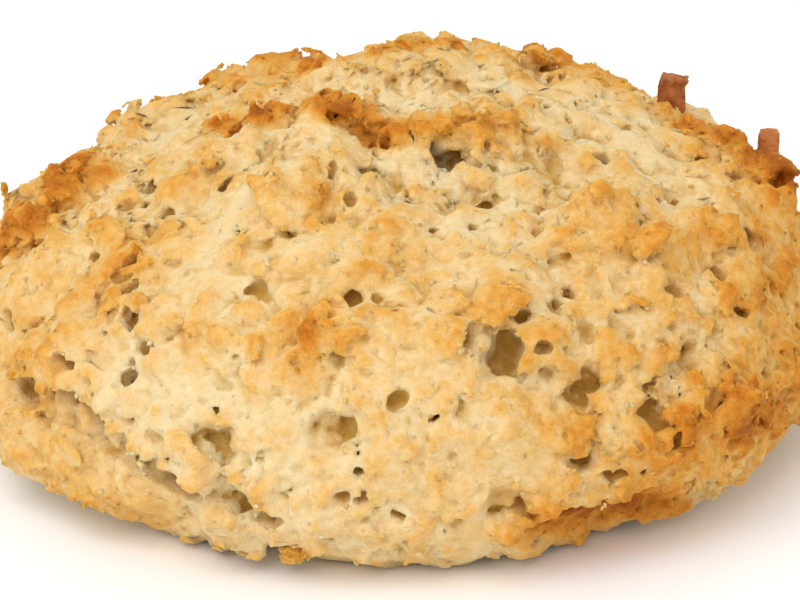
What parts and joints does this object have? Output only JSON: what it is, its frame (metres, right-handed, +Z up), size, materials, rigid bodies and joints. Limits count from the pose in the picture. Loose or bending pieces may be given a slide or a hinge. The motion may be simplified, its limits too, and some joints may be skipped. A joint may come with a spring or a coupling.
{
  "type": "rock cake",
  "caption": "Craggy hand-dropped mound of baked dough with a torn front, a split at one lower corner and a flat underside.",
  "frame": {"origin": "middle of the cake's box, on the surface it rests on", "axes": "+X along the cake's length to the right of its torn front, +Y from the front to the back, +Z up"},
  "size_m": [0.084, 0.0784, 0.0359],
  "materials": {
    "crumb": "dry baked crumb, matte, pale cream in the tears and golden brown on the raised crust"
  },
  "bodies": {
    "root": {"cake": "crumb"}
  },
  "joints": []
}
